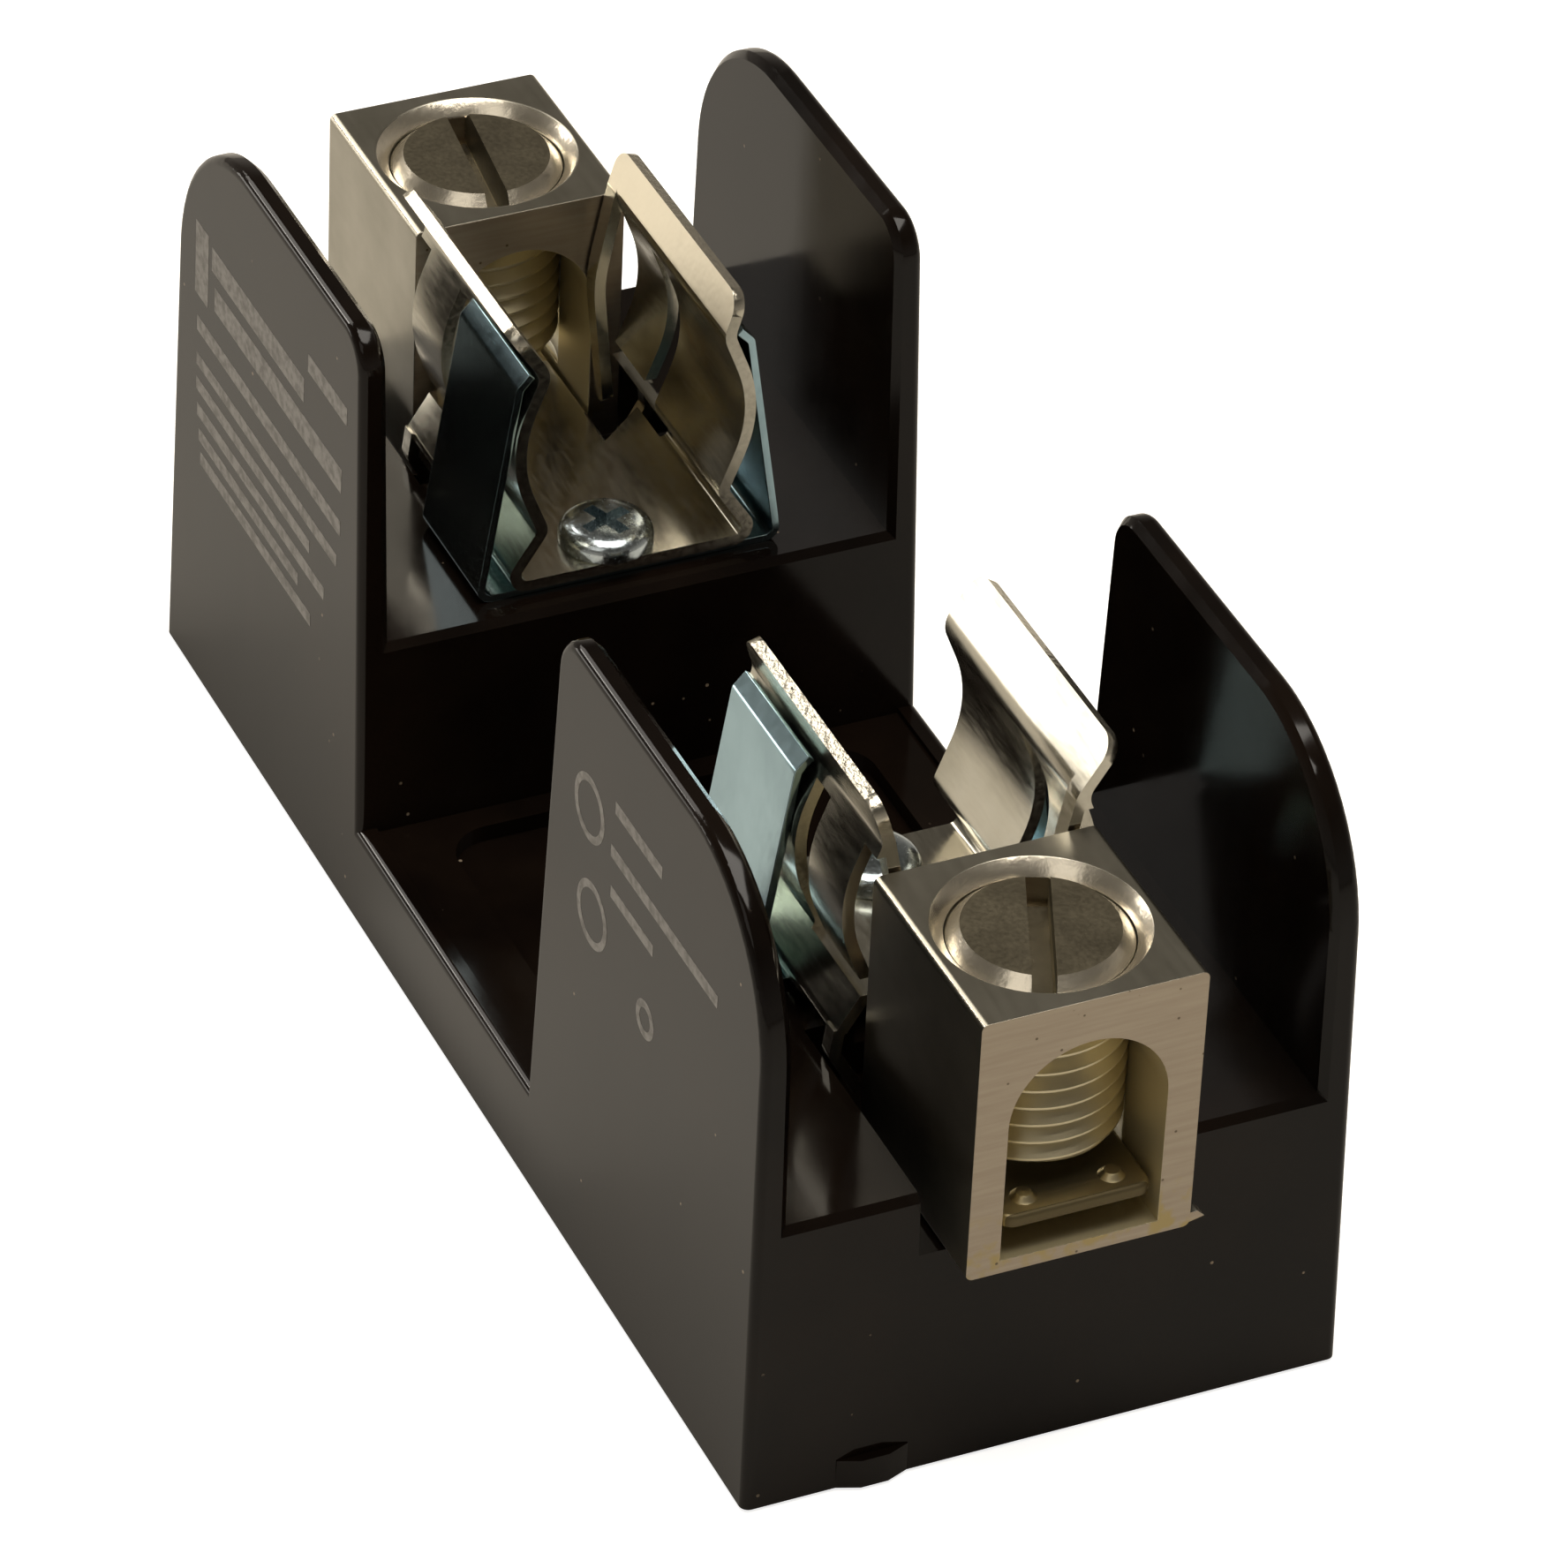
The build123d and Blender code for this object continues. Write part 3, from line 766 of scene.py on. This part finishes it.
def addFixingScrew(node, name, settings):
    low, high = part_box(node)
    axis = Vector(((low.x + high.x) / 2, (low.y + high.y) / 2, 0))
    radius = (high.x - low.x) / 2
    steps = settings["steps"]
    height = settings["headHeight"]
    base = high.z - height
    chamfer = settings["headChamfer"]
    outline = [(0, base), (radius - chamfer, base), (radius, base + chamfer)]
    outline += [(radius * wide, base + tall * height) for wide, tall in settings["dome"]]
    outline += [(radius * settings["flatTop"], high.z), (0, high.z)]
    head = turned(axis, outline, steps)
    piece = addPiece(name + "Head", head, bodyOf[node], zincScrewSteel)
    armSize = (settings["crossLength"], settings["crossWidth"], 2 * settings["crossDepth"])
    for quarter in (0, 90):
        angle = settings["crossAngle"][node] + quarter
        arm = boxShape(armSize, (axis.x, axis.y, high.z), angle)
        combine(piece, addPiece("armCutter", arm, None, zincScrewSteel), "DIFFERENCE")
    setMaterial(piece, zincScrewSteel)
    smoothByAngle(piece.data, settings["smoothAngle"])
    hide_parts(node)
    shank = threadedBar(
        axis, settings["shankRadius"], settings["threadDepth"], settings["pitch"],
        low.z, base, steps,
    )
    thread = addPiece(name + "Thread", shank, bodyOf[node], zincScrewSteel)
    smoothByAngle(thread.data, settings["smoothAngle"])
    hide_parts(node)


for end in ("line", "load"):
    addEased(end + "Clip", end + "_clip", platedCopper, easedPieces["clip"])
    addEased(
        end + "Spring", end + "_spring", zincSpringSteel, easedPieces["spring"]
    )
    addEased(end + "Lug", end + "_lug", tinnedAluminium, easedPieces["lug"])
    addClampScrew(end + "_clamp_screw", end + "ClampScrew", clampScrew)
    addFixingScrew(end + "_fixing_screw", end + "FixingScrew", fixingScrew)
    setMaterial(frame["nodes"][end + "_fixing_nut"], zincScrewSteel)
addEased("mouldedBase", "base", phenolic, easedPieces["base"])


# Plain fields of pale ink on the -Y walls, in millimetres: bars as (start X, end X, middle Z,
# height) and rings as (X, Z, radius)
wallPrint = {
    "bars": [
        (-36.8, -34.9, 27.1, 4.6), (-20.4, -14.9, 30.4, 1.1),
        (-34.4, -20.9, 28.3, 1.5), (-33.9, -15.4, 26.0, 1.5),
        (-36.4, -15.4, 23.0, 0.95), (-36.4, -15.8, 20.7, 0.8), (-36.4, -19.6, 19.1, 0.8),
        (-36.2, -17.4, 17.5, 0.8), (-35.9, -21.1, 16.0, 0.8), (-35.6, -19.2, 14.6, 0.8),
        (21.0, 26.8, 30.1, 0.75), (20.7, 33.9, 27.3, 0.75), (20.9, 26.2, 24.9, 0.7),
    ],
    "rings": [(17.9, 27.9, 1.9), (18.8, 21.9, 1.9), (25.7, 20.3, 1.1)],
    "ringWidth": 0.45,
    "ringSteps": 40,
    "thickness": 0.01,
    "weld": 0.001,
    "wallDraft": 0.82,  # degrees
    "wallFoot": -16.5,  # the walls' Y at the foot of the base
}


# The fields are laid out flat at Y = 0, leaned onto the walls and given their thickness
def addWallPrint(settings):
    shape = bmesh.new()
    for start, end, middle, height in settings["bars"]:
        low, high = middle - height / 2, middle + height / 2
        corners = ((start, 0, low), (end, 0, low), (end, 0, high), (start, 0, high))
        shape.faces.new([shape.verts.new(corner) for corner in corners])
    for x, z, radius in settings["rings"]:
        inner = shape.verts.new((x + radius - settings["ringWidth"], 0, z))
        outer = shape.verts.new((x + radius, 0, z))
        bmesh.ops.spin(
            shape, geom=[inner, outer, shape.edges.new((inner, outer))], cent=(x, 0, z),
            axis=(0, 1, 0), angle=2 * math.pi, steps=settings["ringSteps"], use_merge=True,
        )
    lean = math.tan(math.radians(settings["wallDraft"]))
    onWall = Matrix.Scale(mm, 4) @ Matrix((
        (1, 0, 0, 0), (0, 1, lean, settings["wallFoot"]), (0, 0, 1, 0), (0, 0, 0, 1),
    ))
    bmesh.ops.transform(shape, matrix=onWall, verts=shape.verts)
    bmesh.ops.remove_doubles(shape, verts=shape.verts, dist=settings["weld"] * mm)
    outward = Vector((0, -settings["thickness"] * mm, 0))
    layer = bmesh.ops.extrude_face_region(shape, geom=shape.faces[:])
    moved = [item for item in layer["geom"] if isinstance(item, bmesh.types.BMVert)]
    bmesh.ops.translate(shape, vec=outward, verts=moved)
    bmesh.ops.recalc_face_normals(shape, faces=shape.faces)
    piece = addPiece("wallPrint", shape, bodyOf["base"], paleInk)


addWallPrint(wallPrint)
print("pieces made")


# Pale floor, white under the lamps; it lies a little below the base's underside, so that the
# two faces don't flicker where they are seen from below
floorLook = {
    "colour": "#dcd8d0",
    "roughness": 0.9,
    "glow": 0.8,
    "side": 6.0,
    "cells": 8,
    "gap": 0.2 * mm,
}


def addFloor(look):
    material, tree = newMaterial("paintedFloor")
    rays = addNode(tree, "ShaderNodeLightPath")
    glow = addNode(tree, "ShaderNodeMath", {
        0: rays.outputs["Is Camera Ray"], 1: look["glow"],
    }, operation="MULTIPLY")
    shader = addNode(tree, "ShaderNodeBsdfPrincipled", {
        "Base Color": linear(look["colour"]),
        "Roughness": look["roughness"],
        "Specular IOR Level": 0.0,
        "Emission Color": (1, 1, 1, 1),
        "Emission Strength": glow.outputs[0],
    })
    addNode(tree, "ShaderNodeOutputMaterial", {"Surface": shader.outputs["BSDF"]})
    shape = bmesh.new()
    cells = look["cells"]
    bmesh.ops.create_grid(shape, x_segments=cells, y_segments=cells, size=look["side"] / 2)
    bmesh.ops.translate(shape, vec=(0, 0, -look["gap"]), verts=shape.verts)
    floor = addPiece("floor", shape, None, material)


addFloor(floorLook)

# Soft studio light: a dim sky, boxes overhead and in front, a low strip at the left, a box
# behind it and a small one that draws the thin highlights along edges
lampBoxes = {
    "overheadBox": {"place": (0.05, 0.1, 1.0), "size": (0.6, 0.6), "power": 8.0},
    "leftStrip": {"place": (-0.75, -0.68, 0.09), "size": (0.5, 0.2), "power": 1.3},
    "backBox": {"place": (-0.74, -0.22, 0.63), "size": (0.42, 0.42), "power": 2.2},
    "sparkBox": {"place": (-0.73, -0.45, 0.5), "size": (0.12, 0.12), "power": 0.8},
    "frontBox": {"place": (0.42, -0.5, 0.76), "size": (0.45, 0.45), "power": 0.55},
}
lampColour = "#fff9f0"
lampTarget = (0, 0, 0.02)
skyLook = {"tones": [(0.1, "#b8b0a5"), (0.6, "#5f5b54")], "strength": 0.7}


def addLamps(boxes):
    for name, settings in boxes.items():
        data = bpy.data.lights.new(name, "AREA")
        data.shape = "RECTANGLE"
        data.size, data.size_y = settings["size"]
        data.energy = settings["power"]
        data.color = linear(lampColour)[:3]
        lamp = bpy.data.objects.new(name, data)
        bpy.context.scene.collection.objects.link(lamp)
        lamp.location = settings["place"]
        aim = Vector(lampTarget) - Vector(settings["place"])
        lamp.rotation_euler = aim.to_track_quat("-Z", "Y").to_euler()


def addSky(look):
    world = bpy.data.worlds.new("studioSky")
    bpy.context.scene.world = world
    world.use_nodes = True
    tree = world.node_tree
    tree.nodes.clear()
    direction = addNode(tree, "ShaderNodeTexCoord").outputs["Generated"]
    height = addNode(tree, "ShaderNodeSeparateXYZ", {"Vector": direction}).outputs["Z"]
    colour = addNode(tree, "ShaderNodeValToRGB", {"Fac": height}, look["tones"])
    glow = addNode(tree, "ShaderNodeBackground", {
        "Color": colour.outputs["Color"], "Strength": look["strength"],
    })
    addNode(tree, "ShaderNodeOutputWorld", {"Surface": glow.outputs["Background"]})


addLamps(lampBoxes)
addSky(skyLook)
print("studio made")
